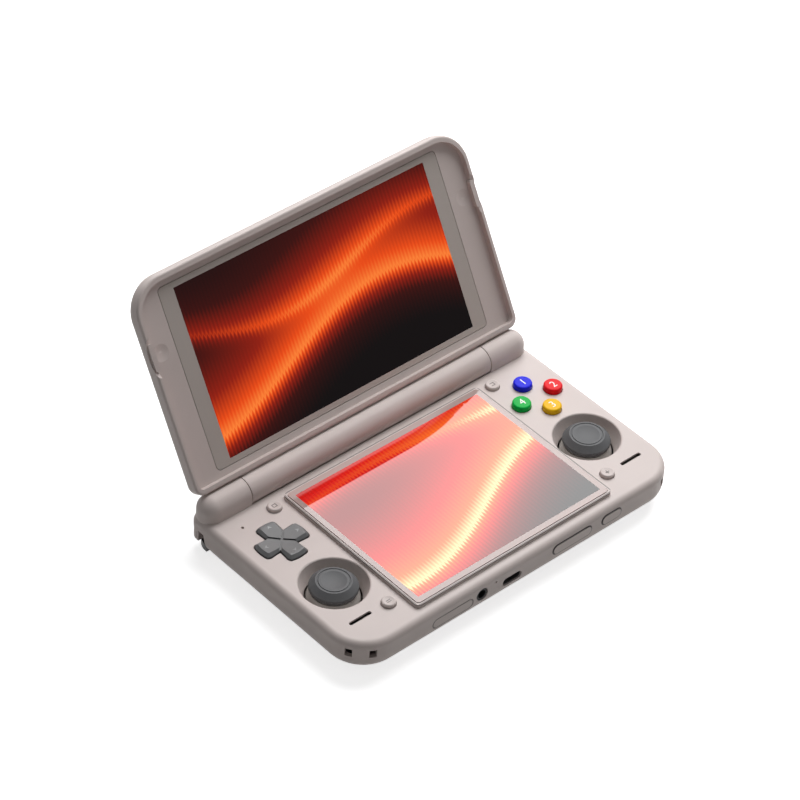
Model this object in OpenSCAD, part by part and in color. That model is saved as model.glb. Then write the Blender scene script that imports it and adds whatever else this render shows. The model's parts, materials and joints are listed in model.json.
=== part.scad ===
// Clamshell handheld game console: two screens on a friction hinge, thumb sticks,
// direction pad, face, function and shoulder buttons. Drawn with the lid open.
// Millimetres. Z is up from the table, X runs along the hinge, the player sits at -Y.

/* [Base] */
// Width of the base, side to side
base_w = 163; // [156:1:172]
// Distance from the front wall back to the hinge axis
hinge_reach = 90; // [88:0.5:98]
// Height of the base from its underside to the deck
base_h = 13.8; // [13.4:0.2:17]
// Corner radius at the front, seen from above
corner_r = 16; // [10:1:20]
// Corner radius at the rear, seen from above
rear_corner_r = 5; // [4:0.5:7]
// Rounding along the edge of the deck
deck_fillet = 2.7; // [2:0.1:3.5]
// Rounding along the edge of the underside
belly_fillet = 6; // [4:0.5:7]
// Wall thickness of the mouldings
wall = 1.8; // [1.4:0.1:2.2]
// How far the seam between the two base shells lies below the deck
seam_drop = 9.6; // [9:0.1:10.2]
// How far the hand grips reach below the underside
grip_drop = 2.5; // [1.5:0.1:3]
// How far the rubber feet reach below the grips
foot_proud = 0.2; // [0.1:0.1:0.6]

/* [Lid] */
// Width of the lid
lid_w = 161; // [154:1:168]
// Distance from the hinge axis to the lid's far edge
lid_reach = 89.8; // [88:0.2:96]
// Distance from the hinge axis to the lid's near edge
lid_root = 6.3; // [6.2:0.1:7.5]
// Thickness of the lid from its glass to its back
lid_depth = 5.2; // [4.8:0.1:6.5]
// Height of the rim above the upper glass
rim_h = 2.5; // [1.6:0.1:2.6]
// Corner radius at the far edge
lid_corner_r = 14; // [8:1:18]
// Corner radius beside the hinge
lid_root_corner_r = 4; // [4:0.5:6]
// Rounding along the edge of the lid's back
lid_back_fillet = 4; // [2.5:0.1:4]
// Angle that the lid is drawn at, from closed
lid_open = 120; // [90:5:150]

/* [Hinge] */
// Radius of the hinge barrel
barrel_r = 5.8; // [5.2:0.1:6]
// Height of the hinge axis above the deck
hinge_rise = 2.9; // [2.7:0.1:3.4]
// Length of the lid's middle barrel
barrel_len = 120; // [100:1:130]
// Radius of the hinge shafts
shaft_r = 2.2; // [1.6:0.1:2.6]

/* [Screens] */
// Width of the upper glass
upper_glass_w = 135.6; // [128:0.2:140]
// Height of the upper glass
upper_glass_h = 73.5; // [70:0.5:75]
// Distance from the hinge axis to the upper glass
upper_glass_root = 11.1; // [10.6:0.1:12.5]
// Width of the raised lower glass
lower_glass_w = 98; // [94:0.5:100]
// Depth of the raised lower glass
lower_glass_d = 75.5; // [72:0.5:76]
// Height of the lower glass above the deck
lower_glass_rise = 1.7; // [1.2:0.1:1.8]
// Width of the lower screen's picture
lower_view_w = 91.4; // [86:0.2:93]
// Depth of the lower screen's picture
lower_view_d = 68.5; // [64:0.5:70]
// Thickness of both cover glasses
glass_t = 0.9; // [0.7:0.1:1.1]

/* [Sticks] */
// Distance of each stick from the middle
stick_x = 63.7; // [62:0.1:65]
// Radius of the well mouth at the deck
well_r = 13; // [12.5:0.1:13.2]
// Radius of the stick cap
cap_r = 9.15; // [8:0.05:9.3]
// Height of the cap top above the deck
cap_rise = 1.4; // [1.2:0.1:1.5]

/* [Buttons] */
// Distance of the direction pad and of the face buttons from the middle
pad_x = 64.4; // [63:0.1:65.4]
// Overall span of the direction pad
dpad_span = 20.8; // [19:0.2:22]
// Distance of each face button from the middle of its diamond
face_pitch = 8.3; // [7.9:0.1:8.6]
// Radius of a face button
face_r = 3.75; // [3.4:0.05:3.8]
// Height of the face buttons above the deck
face_rise = 2.2; // [1.4:0.1:2.3]
// Radius of a function button
fn_r = 2.8; // [2.4:0.05:3]
// Height of the function buttons above the deck
fn_rise = 1.4; // [0.8:0.1:1.8]
// Gap round every button in its hole
button_gap = 0.2; // [0.15:0.05:0.3]
// How far a button travels
button_travel = 0.8; // [0.5:0.1:0.9]

/* [Ports] */
// Radius of the headphone jack's bore
jack_r = 1.8; // [1.75:0.05:1.85]
// Depth of the headphone jack's bore
jack_depth = 13; // [11:0.5:14]

/* [Hidden] */
$fn = 64;
eps = 0.01;
TOP = 60;

// Colours of the mouldings and parts
body_c = "#CFC4C1";
lid_c = "#8F8682";
black_c = "#1B1B1C";
rubber_c = "#4A4B4D";
steel_c = "#A9ABAE";
board_c = "#23512F";

// The table is z = 0, the hinge axis and the deck are placed from it
underside_z = grip_drop + foot_proud;
deck_z = underside_z + base_h;
hinge_z = deck_z + hinge_rise;

// Reach of the open lid behind its axis, which centres the whole on Y
lid_back_z = -lid_depth;
lid_lean = 180 - lid_open;
lid_overhang = (lid_reach - lid_back_fillet) * cos(lid_lean)
    - (lid_back_z + lid_back_fillet) * sin(lid_lean) + lid_back_fillet;
key_proud = 0.35;
hinge_y = (hinge_reach + key_proud - lid_overhang) / 2;

// Places in the deck frame: origin on the deck, under the middle of the lower screen
screen_to_hinge = 47.3;
front_y = screen_to_hinge - hinge_reach;
rear_y = screen_to_hinge + barrel_r;
side_x = base_w / 2;
glass_edge = lower_glass_w / 2;
belly_z = -base_h;
floor_z = belly_z + wall;
ceiling_z = -wall;

// Hinge details
barrel_gap = 0.4;
trough_r = barrel_r + barrel_gap;
trough_wall = 1.4;
slot_half = barrel_len / 2 + barrel_gap;
end_x = side_x - 0.7;
end_round = barrel_r - 0.1;
ledge_z = -3;
module_r = 3.6;
module_len = 18;
shaft_seat = 9;
running = 0.05;
fit_gap = 0.1;

// Lid details
bezel_seam = lid_back_z + lid_back_fillet;
rim_side = 1.8;
rim_far = 2.4;
rim_near = 2.2;
rim_round = 0.9;
lid_wall = 1.2;
bezel_t = 1.2;
panel_t = 1.5;
flex_z = -1.5;
lid_glass_gap = 0.25;
bumper = [2.1, 11, 62.1];
upper_view_w = 121.8;
upper_view_h = 68.5;

// Lower screen details
glass_gap = 0.15;
platform_margin = 0.9;
platform_top = lower_glass_rise - 0.25;
lower_panel_t = 1.7;
panel_w = lower_view_w + 2;
panel_d = lower_view_d + 2;

// Stick details
stick_y = -8.6;
pivot_z = -9.2;
dome_r = 10.5;
dome_t = 0.9;
dome_top = 5.8;
dome_low = 2.6;
cap_low = -2.8;
cap_ring_r = 6.65;
cap_dish_r = 5.75;
well_foot_r = 10.8;
well_foot_z = -6.6;
well_wall = 1.2;
well_lip = 0.8;
gimbal_r = 4.8;
gimbal_t = 1.2;
gimbal_h = 1.6;
gimbal_pin_r = 0.8;
stick_pin_r = 0.7;
rod_r = 1.6;
module_half = 6.5;
module_top = -7.6;
pot_top = -10.6;
ball_r = 1.6;

// Direction pad and face button details
pad_y = 19.8;
dpad_rise = 1.6;
dpad_gap = 0.45;
dpad_waist = 3.9;
dpad_flare = 4;
dpad_corner = 1.9;
dpad_end_r = 14;
dpad_groove = 0.9;
dpad_bevel = 1.1;
dpad_flange_r = 7.2;
pivot_ball_r = 1.6;
dpad_flange_z = ceiling_z - 1.25;
flange_t = 0.8;
flange_out = 0.9;
dish_r = 7.5;
membrane_t = 0.6;
dome_h = 0.25;
membrane_top = ceiling_z - flange_t - button_travel - 0.45;
board_t = 1;
control_board_z = membrane_top - dome_h - membrane_t - board_t;
fn_x = glass_edge + 6;
fn_ys = [35.2, -28.7];

// Openings in the front wall: place along X, height below the deck, width, height
usb = [-6.4, -6.5, 9.4, 3.5];
jack = [-21.4, -5.6];
card_slot = [-35.7, -6.6, 19.4, 4];
volume_slot = [24, -5.3, 19.6, 4.2];
power_slot = [44.3, -5.1, 9.8, 4.2];
reset_hole = [-14.5, -3.6];
strap_turns = [-63, -30.5];
strap_hole = [2.8, 3.5];
key_gap = 0.2;
rocker_float = 0.45;
key_board_y = front_y + wall + 2.6;
main_board_top = -8.2;
board_front = front_y + 2.7;
board_rear = 14;
battery_d = 36;
battery_t = 4.4;
motor_r = 2.6;
sink_w = 40;

// Shoulder bay at the rear corners
bay_x = side_x - 34.5;
bay_y = rear_y - 8.9;
bay_top = -4.9;
bay_wall = 1.4;
bay_bend = [-0.9, -8.6];
bay_foot = [-3.4, -17.2];
shoulder_pin = [bay_x + 3.5, bay_y + 5.4];
shoulder_pin_r = 1.2;
shoulder_ear = 0.8;
shoulder_top = bay_top - shoulder_ear - 0.2;
shoulder_low = -12.8;
trigger_top = shoulder_low - 0.4;
trigger_low = belly_z - grip_drop + 0.1;
shoulder_out = side_x - 2;
trigger_out = side_x - 2.9;
shoulder_rear = rear_y + 1.5;
trigger_rear = rear_y + 0.3;
bracket_w = 8;
grip_start = 36;
grip_swell = 8.5;

// Fasteners
boss_r = 2.6;
screw_r = 0.9;
screw_head_r = 1.9;
screw_head_h = 1.3;
boss_xy = [[glass_edge + 7, -37], [glass_edge + 0.5, 3], [bay_x + 0.5, 37.6]];
board_posts = [[-12.5, -11.2], [12.5, -11.2], [-3.9, 16.6], [12.5, 16.6]];
standoff_x = glass_edge - 7;
standoff_ys = [-36, 10];
speaker_x = side_x - 13.5;
foot_r = 5;
front_feet = [side_x - 23.5, -28];
rear_foot = [bay_x + 17, grip_start + 2.4, 2.6];

// ---------------------------------------------------------------- frames and helpers

// Deck frame: origin on the deck under the middle of the lower screen
module deck_frame() translate([0, hinge_y - screen_to_hinge, deck_z]) children();

// Lid frame: X along the hinge axis, Y up the lid, Z out of the upper glass
module lid_frame() translate([0, hinge_y, hinge_z]) rotate([lid_lean, 0, 0]) children();

// A copy on each side of the middle
module both_sides() {
    children();
    mirror([1, 0, 0]) children();
}

// One side only: side is 1 for the right and -1 for the left
module on_side(side) mirror([side < 0 ? 1 : 0, 0, 0]) children();

// A cylinder that runs along X from x0 to x1
module x_rod(r, x0, x1) translate([x0, 0, 0]) rotate([0, 90, 0]) cylinder(r = r, h = x1 - x0);

// A cylinder that runs along Y from y0 to y1
module y_rod(r, y0, y1) translate([0, y0, 0]) rotate([-90, 0, 0]) cylinder(r = r, h = y1 - y0);

// What a convex round of radius r takes off the corner at [x, z]; up is 1 or -1
module round_cut(x, z, r, up) {
    if (r > 0) translate([x - r, z - up * r]) difference() {
        translate([0, up > 0 ? 0 : -r - 1]) square([r + 1, r + 1]);
        circle(r = r);
    }
}

// Section of a slab's edge from its inner line out to run, rounded top and bottom
module edge_section(run, z0, z1, top_r, low_r) difference() {
    translate([0, z0]) square([run, z1 - z0]);
    round_cut(run, z1, top_r, 1);
    round_cut(run, z0, low_r, -1);
}

// A slab of width w between y0 and y1, with its own corner radii at front and rear
module slab(w, y0, y1, z0, z1, front_r, back_r, top_r, low_r) {
    module corner(x, y, r, turn) translate([x, y, 0]) rotate([0, 0, turn])
        rotate_extrude(angle = 90) edge_section(r, z0, z1, top_r, min(low_r, r));
    module strip(y, r, turn) translate([0, y, 0]) rotate([90, 0, turn])
        linear_extrude(height = w - 2 * r, center = true)
            edge_section(r, z0, z1, top_r, min(low_r, r));
    module middle() translate([0, (y0 + front_r + y1 - back_r) / 2, 0]) rotate([90, 0, 0])
        linear_extrude(height = y1 - back_r - y0 - front_r, center = true) {
            edge_section(w / 2, z0, z1, top_r, low_r);
            mirror([1, 0]) edge_section(w / 2, z0, z1, top_r, low_r);
        }
    middle();
    strip(y0 + front_r, front_r, -90);
    strip(y1 - back_r, back_r, 90);
    corner(w / 2 - front_r, y0 + front_r, front_r, -90);
    corner(-w / 2 + front_r, y0 + front_r, front_r, 180);
    corner(w / 2 - back_r, y1 - back_r, back_r, 0);
    corner(-w / 2 + back_r, y1 - back_r, back_r, 90);
}

// A flat plate with round corners, seen along Z
module plate_outline(w, d, r) {
    square([w - 2 * r, d], center = true);
    square([w, d - 2 * r], center = true);
    for (x = [-1, 1], y = [-1, 1]) translate([x * (w / 2 - r), y * (d / 2 - r)]) circle(r = r);
}

module plate(w, d, r, z0, z1) translate([0, 0, z0])
    linear_extrude(height = z1 - z0) plate_outline(w, d, r);

// A long hole with round ends, w long and h high, run along Y from y0 to y1
module pill(w, h, y0, y1) translate([0, y1, 0]) rotate([90, 0, 0])
    linear_extrude(height = y1 - y0) {
        square([w - h, h], center = true);
        for (x = [-1, 1]) translate([x * (w - h) / 2, 0]) circle(d = h);
    }

// Where something of the front wall sits, from its [x, z] place
module at_front(place) translate([place[0], front_y, place[1]]) children();

// ---------------------------------------------------------------- base shells

// Outside of the base below the deck, with no hinge
module base_envelope()
    slab(base_w, front_y, rear_y, belly_z, 0, corner_r, rear_corner_r, deck_fillet, belly_fillet);

// The hollow of both base shells; the hinge trough keeps its own wall
module base_cavity() difference() {
    slab(base_w - 2 * wall, front_y + wall, rear_y - wall, floor_z, ceiling_z,
        corner_r - wall, rear_corner_r - wall, deck_fillet - wall, belly_fillet - wall);
    translate([0, screen_to_hinge, hinge_rise])
        x_rod(trough_r + trough_wall, -slot_half - wall, slot_half + wall);
    bay_block(bay_wall);
}

// Room for the shoulder button and trigger at both rear corners
module shoulder_bays() bay_block(0);

// The bay's block, grown by its wall: the front face slopes forward towards the grip
module bay_block(grow) both_sides() translate([bay_x - grow, bay_y - grow, 0])
    rotate([90, 0, 90]) linear_extrude(height = TOP)
        polygon([[0, bay_top + grow], bay_bend, bay_foot, [TOP, bay_foot[1]], [TOP, bay_top + grow]]);

// Hollow that the lid's barrel turns in, open to the rear
module hinge_trough() {
    translate([0, screen_to_hinge, hinge_rise]) x_rod(trough_r, -slot_half, slot_half);
    translate([-slot_half, screen_to_hinge, ledge_z]) cube([2 * slot_half, TOP, TOP]);
}

// End piece of the hinge: half a barrel with a round end, on a web down to the deck
module hinge_end() {
    run = end_x - slot_half;
    module round_end() translate([barrel_r - end_round, run - end_round]) difference() {
        square(end_round + 1);
        circle(r = end_round);
    }
    translate([slot_half, screen_to_hinge, hinge_rise]) rotate([0, 90, 0])
        rotate_extrude(angle = 180, start = 90) difference() {
            square([barrel_r, run]);
            round_end();
        }
    translate([slot_half, screen_to_hinge, -deck_fillet])
        linear_extrude(height = hinge_rise + deck_fillet) difference() {
            translate([0, -barrel_r]) square([run, 2 * barrel_r]);
            for (m = [0, 1]) mirror([0, m]) rotate(90) mirror([0, 1]) round_end();
        }
}

// Bowl round a stick: a mouth with a soft lip and a wall that narrows downwards
module stick_well_wall() translate([stick_x, stick_y, 0]) rotate_extrude()
    polygon([[well_foot_r, well_foot_z], [well_foot_r + well_wall, well_foot_z],
        [well_r + well_wall + 0.6, -wall / 2], [well_r + well_wall + 0.6, -0.3],
        [well_r - 0.3, -0.3], [well_r - 0.3, -wall]]);

module stick_well_cut() translate([stick_x, stick_y, 0]) {
    rotate_extrude() polygon([[0, well_foot_z - 1], [well_foot_r, well_foot_z - 1],
        [well_foot_r, well_foot_z], [well_r, -well_lip], [well_r, 1], [0, 1]]);
    rotate_extrude() difference() {
        translate([well_r - eps, -well_lip]) square([well_lip + eps, well_lip + 1]);
        translate([well_r + well_lip, -well_lip]) circle(r = well_lip);
    }
}

// One petal of the direction pad, pointing along +X: it flares to a round end
// Half the width of a key of the pad where its end corners start
function key_far(grow) = dpad_waist + grow
    + (dpad_span / 2 - dpad_corner - dpad_waist - grow) * tan(dpad_flare);

module petal_bar(grow) {
    v = dpad_waist + grow;
    inner = dpad_span / 2 - dpad_corner;
    far = key_far(grow);
    polygon([[-eps, 0], [v, v], [inner, far], [inner, key_far(0) - dpad_corner],
        [dpad_span / 2 + 1, key_far(0) - dpad_corner], [dpad_span / 2 + 1, dpad_corner - key_far(0)],
        [inner, dpad_corner - key_far(0)], [inner, -far], [v, -v]]);
}

module petal_outline(grow) intersection() {
    translate([dpad_span / 2 - dpad_end_r, 0]) circle(r = dpad_end_r + grow);
    union() {
        petal_bar(grow);
        for (m = [-1, 1]) translate([dpad_span / 2 - dpad_corner, m * (key_far(0) - dpad_corner)])
            circle(r = dpad_corner + grow);
    }
}

module dpad_outline(grow) for (turn = [0:90:270]) rotate(turn) petal_outline(grow);

// Places of the four face buttons, from the middle of their diamond
face_at = [[0, 1], [1, 0], [-1, 0], [0, -1]];

module deck_holes() {
    both_sides() stick_well_cut();
    translate([-pad_x, pad_y, -wall - 1]) linear_extrude(height = wall + 2) dpad_outline(dpad_gap);
    for (at = face_at) translate([pad_x + face_pitch * at[0], pad_y + face_pitch * at[1], -wall - 1])
        cylinder(r = face_r + button_gap, h = wall + 2);
    both_sides() for (y = fn_ys) translate([fn_x, y, -wall - 1])
        cylinder(r = fn_r + button_gap, h = wall + 2);
    both_sides() translate([speaker_x, -28.1, 0]) plate(10.3, 1.6, 0.75, -wall - 1, 1);
    translate([-side_x + 10.5, 34.3, -wall - 1]) cylinder(r = 0.6, h = wall + 2);
}

module front_holes() {
    at_front(usb) pill(usb[2], usb[3], -1, wall + 1);
    at_front(jack) y_rod(2.8, -1, wall + 1);
    at_front(reset_hole) y_rod(0.45, -1, wall + 1);
    for (slot = [card_slot, volume_slot, power_slot])
        at_front(slot) pill(slot[2] + 2 * key_gap, slot[3] + 2 * key_gap, -1, wall + 1);
    // Strap holes, two on each front corner
    both_sides() translate([side_x - corner_r, front_y + corner_r, -5.1])
        for (turn = strap_turns) rotate([0, 0, turn]) translate([corner_r, 0, 0])
            cube([2 * wall + 3, strap_hole[0], strap_hole[1]], center = true);
}

module exhaust_slots() for (i = [-6:6]) translate([i * 5, rear_y - wall - 1, -8.8])
    cube([2.4, wall + 2, 3.6]);

// Screw posts of the top shell
module top_bosses() both_sides() for (at = boss_xy) translate([at[0], at[1], -seam_drop])
    cylinder(r = boss_r, h = seam_drop - wall + 0.4);

// Short posts that the control boards are fixed to
module board_post_set() both_sides() for (at = board_posts)
    translate([pad_x + at[0], pad_y + at[1], control_board_z + board_t])
        cylinder(r = 0.9, h = ceiling_z + 0.4 - control_board_z - board_t);

module base_top_shell() color(body_c) deck_frame() difference() {
    union() {
        difference() {
            intersection() {
                base_envelope();
                translate([-TOP * 2, -TOP, -seam_drop]) cube([TOP * 4, TOP * 2.5, TOP]);
            }
            base_cavity();
            shoulder_bays();
        }
        both_sides() stick_well_wall();
        both_sides() hinge_end();
        top_bosses();
        board_post_set();
        plate(lower_glass_w, lower_glass_d, 2, -wall / 2, platform_top);
    }
    hinge_trough();
    // Seat of the lower glass and the opening for its panel
    plate(lower_glass_w - 2 * platform_margin, lower_glass_d - 2 * platform_margin, 1.6,
        lower_glass_rise - glass_t, TOP);
    plate(panel_w + 2 * glass_gap, panel_d + 2 * glass_gap, 0.8, -wall - 1, TOP);
    deck_holes();
    front_holes();
    exhaust_slots();
    both_sides() for (at = boss_xy) translate([at[0], at[1], -seam_drop - 1])
        cylinder(r = screw_r, h = 6);
    // Square-cut seats of the hinge shafts
    both_sides() translate([0, screen_to_hinge, hinge_rise])
        x_rod(shaft_r + running, slot_half - 1, slot_half + shaft_seat);
}

// Hand grip under each rear corner: it swells from the belly and runs level to the bay
module hand_grip() {
    grip_in = bay_x - 3;
    grip_w = side_x - 1.6 - grip_in;
    intersection() {
        translate([grip_in, 0, belly_z - grip_drop]) {
            translate([0, grip_start, grip_swell]) rotate([0, 90, 0])
                cylinder(r = grip_swell, h = grip_w);
            translate([0, grip_start, 0]) cube([grip_w, bay_y - grip_start, grip_swell]);
        }
        translate([grip_in + grip_w / 2, bay_y, 0]) rotate([90, 0, 0])
            linear_extrude(height = 30) translate([0, belly_z - grip_drop]) difference() {
                translate([-grip_w / 2, 0]) square([grip_w, grip_drop + 3.5]);
                for (m = [0, 1]) mirror([m, 0]) round_cut(grip_w / 2, 0, belly_fillet, -1);
            }
    }
}

// Air inlet under the fan: rings of slots cut by radial bars
fan_at = [27, screen_to_hinge - 19.3];
module inlet_grille() translate([fan_at[0], fan_at[1], belly_z - 1]) difference() {
    for (r = [4, 7, 10]) difference() {
        cylinder(r = r + 0.9, h = wall + 2);
        translate([0, 0, -1]) cylinder(r = r - 0.9, h = wall + 4);
    }
    for (turn = [0:60:120]) rotate([0, 0, turn]) translate([-12, -0.8, -1])
        cube([24, 1.6, wall + 4]);
}

module base_bottom_shell() color(body_c) deck_frame() difference() {
    union() {
        difference() {
            intersection() {
                base_envelope();
                translate([-TOP * 2, -TOP, -TOP]) cube([TOP * 4, TOP * 2.5, TOP - seam_drop]);
            }
            base_cavity();
        }
        both_sides() hand_grip();
        both_sides() for (at = boss_xy) translate([at[0], at[1], floor_z - 0.4])
            cylinder(r = boss_r, h = -seam_drop - floor_z + 0.4 - eps);
        both_sides() for (y = standoff_ys) translate([standoff_x, y, floor_z - 0.4])
            cylinder(r = 1.8, h = main_board_top - board_t - floor_z + 0.4);
    }
    shoulder_bays();
    inlet_grille();
    both_sides() for (at = boss_xy) translate([at[0], at[1], belly_z - grip_drop - 1]) {
        cylinder(r = screw_r + 0.3, h = TOP);
        cylinder(r = screw_head_r + 0.2, h = grip_drop + 1 + screw_head_h);
    }
}

// ---------------------------------------------------------------- lid

// The lid between two heights, back rounding included
module lid_slab(z0, z1, top_r, low_r)
    slab(lid_w, lid_root, lid_reach, z0, z1, lid_root_corner_r, lid_corner_r, top_r, low_r);

// Frame round the upper screen with the hinge barrel, before its bumpers
module lid_frame_body() difference() {
    union() {
        lid_slab(bezel_seam, rim_h, rim_round, 0);
        x_rod(barrel_r, -barrel_len / 2, barrel_len / 2);
        translate([-barrel_len / 2, 0, bezel_seam])
            cube([barrel_len, lid_root + 1, 1 - bezel_seam]);
    }
    // Shallow tray inside the rim
    slab(lid_w - 2 * rim_side, lid_root + rim_near, lid_reach - rim_far, 0, TOP,
        2.4, lid_corner_r - rim_side, 0, 0);
    translate([0, upper_glass_root + upper_glass_h / 2, 0]) {
        plate(upper_glass_w, upper_glass_h, 2, -glass_t, TOP);
        plate(upper_view_w + 3, upper_view_h + 2, 1, -TOP, TOP);
    }
    // Finger dishes in the tray beside the bumpers
    both_sides() translate([lid_w / 2 - rim_side - 4.4, bumper[2], 16 - 0.35]) sphere(r = 16);
    // Bore for the hinge modules and the screen cable
    x_rod(module_r, -barrel_len / 2 - 1, -barrel_len / 2 + module_len);
    x_rod(module_r, barrel_len / 2 - module_len, barrel_len / 2 + 1);
    x_rod(module_r - 0.8, -barrel_len / 2, barrel_len / 2);
    translate([-9, 0, flex_z - 0.15]) cube([18, lid_root + 7, 0.6]);
}

// Two bumpers widen the rim on the inside
module lid_bezel() color(lid_c) lid_frame() {
    lid_frame_body();
    both_sides() translate([lid_w / 2 - rim_side + 0.15, bumper[2], 0])
        plate(bumper[0], bumper[1], 1, -bezel_t / 2, rim_h - 0.3);
}

module lid_back_cover() color(lid_c) lid_frame() difference() {
    union() {
        difference() {
            lid_slab(lid_back_z, bezel_seam - eps, 0, lid_back_fillet);
            slab(lid_w - 2 * lid_wall - 1.2, lid_root + 2.4, lid_reach - 2.2, lid_back_z + lid_wall,
                0, lid_root_corner_r - 1.6, lid_corner_r - 1.8, 0, 2);
        }
        translate([-barrel_len / 2, 0, lid_back_z])
            cube([barrel_len, lid_root + lid_back_fillet, bezel_seam - eps - lid_back_z]);
    }
    x_rod(barrel_r + fit_gap, -TOP * 2, TOP * 2);
    translate([-9, 0, flex_z - 0.15]) cube([18, lid_root + 7, 1]);
}

module upper_glass() color(black_c) lid_frame()
    translate([0, upper_glass_root + upper_glass_h / 2, 0])
        plate(upper_glass_w - 2 * lid_glass_gap, upper_glass_h - 2 * lid_glass_gap, 1.8, -glass_t, 0);

module upper_display_panel() color(steel_c) lid_frame()
    translate([0, upper_glass_root + upper_glass_h / 2, 0])
        plate(upper_view_w + 2.6, upper_view_h + 1.6, 0.8, -glass_t - panel_t, -glass_t);

module lid_magnets() color(steel_c) lid_frame() both_sides()
    translate([lid_w / 2 - 8, lid_reach - 14, lid_back_z + lid_wall])
        cylinder(r = 3, h = -glass_t - panel_t - 0.2 - lid_back_z - lid_wall);

module display_flex() color("#B5651D") lid_frame() {
    translate([-8, 2, flex_z]) cube([16, upper_glass_root + 1.6 - 2, 0.3]);
    difference() {
        x_rod(2.6, -20, 20);
        x_rod(2.2, -21, 21);
    }
}

module hinge_module(side) color(steel_c) lid_frame() on_side(side) difference() {
    x_rod(module_r - fit_gap, barrel_len / 2 - module_len, barrel_len / 2);
    x_rod(shaft_r + running, barrel_len / 2 - 12, barrel_len / 2 + 1);
}

module hinge_shaft(side) color(steel_c) deck_frame() on_side(side)
    translate([0, screen_to_hinge, hinge_rise])
        x_rod(shaft_r, barrel_len / 2 - 11.5, slot_half + shaft_seat);

// ---------------------------------------------------------------- lower screen

module lower_glass() color("#3A3A3C") deck_frame()
    plate(lower_glass_w - 2 * platform_margin - 2 * glass_gap,
        lower_glass_d - 2 * platform_margin - 2 * glass_gap, 1.45,
        lower_glass_rise - glass_t, lower_glass_rise);

module lower_display_panel() color(steel_c) deck_frame()
    plate(panel_w, panel_d, 0.6, lower_glass_rise - glass_t - lower_panel_t,
        lower_glass_rise - glass_t);

// ---------------------------------------------------------------- sticks

module stick_frame(side) deck_frame() on_side(side) translate([stick_x, stick_y, pivot_z]) children();

// Housing on the floor with a potentiometer on two sides and bores for the gimbal
module stick_module(side) color(black_c) stick_frame(side) difference() {
    union() {
        translate([0, 0, floor_z - pivot_z]) linear_extrude(height = module_top - floor_z)
            square(2 * module_half, center = true);
        translate([module_half - 1, -4, floor_z - pivot_z]) cube([4, 8, pot_top - floor_z]);
        translate([-4, -module_half - 3, floor_z - pivot_z]) cube([8, 4, pot_top - floor_z]);
    }
    translate([0, 0, floor_z - pivot_z + 0.6]) cylinder(r = gimbal_r + 0.5, h = TOP);
    x_rod(gimbal_pin_r + running, -module_half - 1, module_half + 1);
}

// Ring that tips about X on its stub pins and carries the stick's own pin
module stick_gimbal(side) color(steel_c) stick_frame(side) difference() {
    union() {
        translate([0, 0, -gimbal_h / 2]) cylinder(r = gimbal_r, h = gimbal_h);
        x_rod(gimbal_pin_r, -module_half + 0.2, module_half - 0.2);
    }
    translate([0, 0, -gimbal_h]) cylinder(r = gimbal_r - gimbal_t, h = 2 * gimbal_h);
    y_rod(stick_pin_r + running, -gimbal_r - 1, gimbal_r + 1);
}

// Rod with its cross pin and the round skirt that closes the well
module stick_shaft(side) color("#B9AEA8") stick_frame(side) {
    y_rod(stick_pin_r, -gimbal_r + 0.1, gimbal_r - 0.1);
    sphere(r = ball_r);
    cylinder(r = rod_r, h = cap_rise - 1.2 - pivot_z - 0.6);
    rotate_extrude() intersection() {
        difference() {
            circle(r = dome_r);
            difference() {
                circle(r = dome_r - dome_t);
                translate([0, dome_top - dome_t]) square([TOP, TOP]);
            }
        }
        translate([0, dome_low]) square([TOP, dome_top - dome_low]);
    }
}

// Rubber-topped cap: knurled edge, raised ring and a hollow dish
module stick_cap(side) color(rubber_c) stick_frame(side) translate([0, 0, -pivot_z]) difference() {
    rotate_extrude() difference() {
        union() {
            translate([0, cap_low]) square([cap_r - 0.8, 2.4]);
            translate([0, cap_low + 0.8]) square([cap_r, 0.8]);
            translate([cap_r - 0.8, cap_low + 0.8]) circle(r = 0.8);
            translate([cap_r - 0.8, cap_low + 1.6]) circle(r = 0.8);
            polygon([[0, cap_low + 1], [cap_r - 0.1, cap_low + 2], [cap_ring_r + 0.7, cap_rise - 0.5],
                [cap_ring_r + 0.2, cap_rise], [0, cap_rise]]);
        }
        translate([0, cap_rise + 16 - 0.75]) circle(r = 16, $fn = 200);
        translate([cap_dish_r + 0.25, cap_rise]) circle(r = 0.28);
    }
    translate([0, 0, cap_low - 1]) cylinder(r = rod_r + running, h = cap_rise - 1.2 - cap_low + 1);
}

// ---------------------------------------------------------------- direction pad

module dpad_frame() deck_frame() translate([-pad_x, pad_y, 0]) children();

// A round of the pad with its top edge bevelled
module key_round(r) rotate_extrude() polygon([[0, ceiling_z], [r, ceiling_z],
    [r, dpad_rise - dpad_bevel], [r - dpad_bevel, dpad_rise], [0, dpad_rise]]);

module key_bar() difference() {
    translate([0, 0, ceiling_z]) linear_extrude(height = dpad_rise - ceiling_z) petal_bar(0);
    for (m = [0, 1]) mirror([0, m, 0]) translate([dpad_waist, dpad_waist, dpad_rise])
        rotate([0, 0, dpad_flare]) rotate([90, 0, 90]) translate([0, 0, -dpad_waist * 2])
            linear_extrude(height = dpad_span) polygon([[-dpad_bevel, 0.1], [-dpad_bevel, 0],
                [0, -dpad_bevel], [2, -dpad_bevel], [2, 0.1]]);
}

// One key of the pad: sides, corners and curved end all bevelled at the top
module petal() intersection() {
    translate([dpad_span / 2 - dpad_end_r, 0, 0]) key_round(dpad_end_r);
    union() {
        key_bar();
        for (m = [-1, 1]) translate([dpad_span / 2 - dpad_corner, m * (key_far(0) - dpad_corner), 0])
            key_round(dpad_corner);
    }
}

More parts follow.
